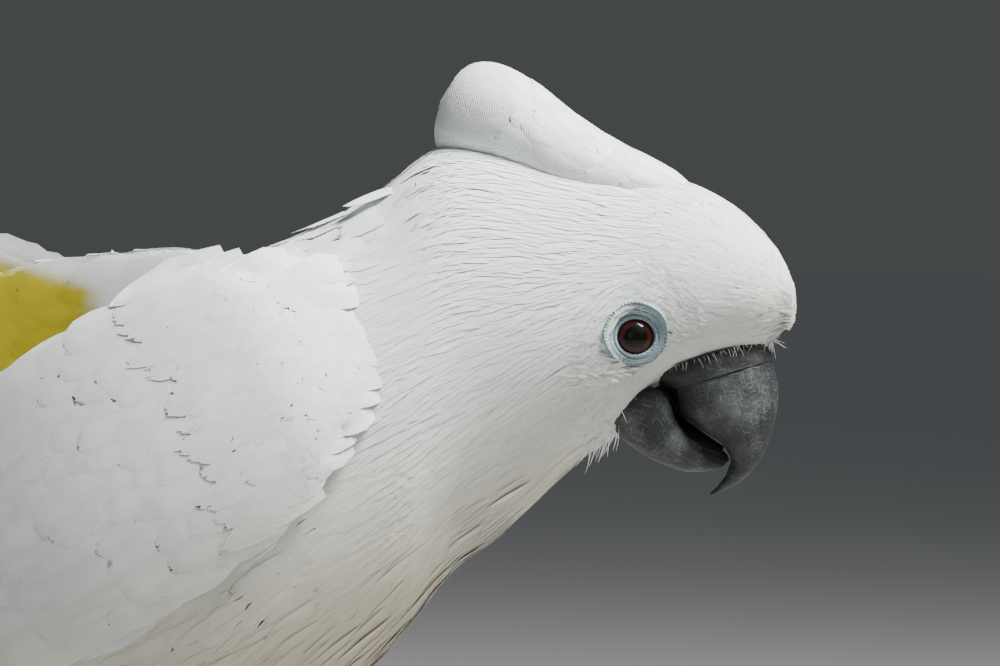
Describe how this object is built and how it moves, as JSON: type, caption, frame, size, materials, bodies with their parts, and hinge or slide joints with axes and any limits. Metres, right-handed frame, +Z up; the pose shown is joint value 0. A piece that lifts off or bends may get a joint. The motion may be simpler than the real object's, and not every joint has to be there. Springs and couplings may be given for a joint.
{
  "type": "cockatoo model",
  "caption": "Life-size still model of a white parrot-like bird standing on both feet, leaning forward with one wing folded and the other part lifted.",
  "frame": {"origin": "on the floor, at the middle of the model's bounding box", "axes": "+X towards the bill, +Y towards the bird's left, +Z up"},
  "size_m": [0.3846, 0.1184, 0.2162],
  "materials": {
    "plumage": "matte, soft",
    "flight_feather": "matte, fine-barbed",
    "bare_skin": "matte, wrinkled",
    "iris": "polished",
    "horn": "chalky",
    "mouth": "matte",
    "foot_skin": "matte, scaly"
  },
  "bodies": {
    "root": {"head": "plumage", "cere": "horn", "bill_upper": "horn", "bill_lower": "horn", "tongue": "mouth", "eye_left": "iris", "eye_right": "iris", "eye_ring_left": "bare_skin", "eye_ring_right": "bare_skin", "crest_short": "plumage", "crest_middle": "plumage", "crest_long": "plumage", "neck": "plumage", "trunk": "plumage", "rump": "plumage", "tail": "flight_feather", "wing_left_coverts": "plumage", "wing_left_secondaries": "flight_feather", "wing_left_primaries": "flight_feather", "leg_left_thigh": "plumage", "leg_left_shank": "foot_skin", "toe_left_inner_front": "foot_skin", "claw_left_inner_front": "horn", "toe_left_outer_front": "foot_skin", "claw_left_outer_front": "horn", "toe_left_outer_back": "foot_skin", "claw_left_outer_back": "horn", "toe_left_inner_back": "foot_skin", "claw_left_inner_back": "horn", "wing_right_coverts": "plumage", "wing_right_secondaries": "flight_feather", "wing_right_primaries": "flight_feather", "leg_right_thigh": "plumage", "leg_right_shank": "foot_skin", "toe_right_inner_front": "foot_skin", "claw_right_inner_front": "horn", "toe_right_outer_front": "foot_skin", "claw_right_outer_front": "horn", "toe_right_outer_back": "foot_skin", "claw_right_outer_back": "horn", "toe_right_inner_back": "foot_skin", "claw_right_inner_back": "horn"}
  },
  "joints": []
}
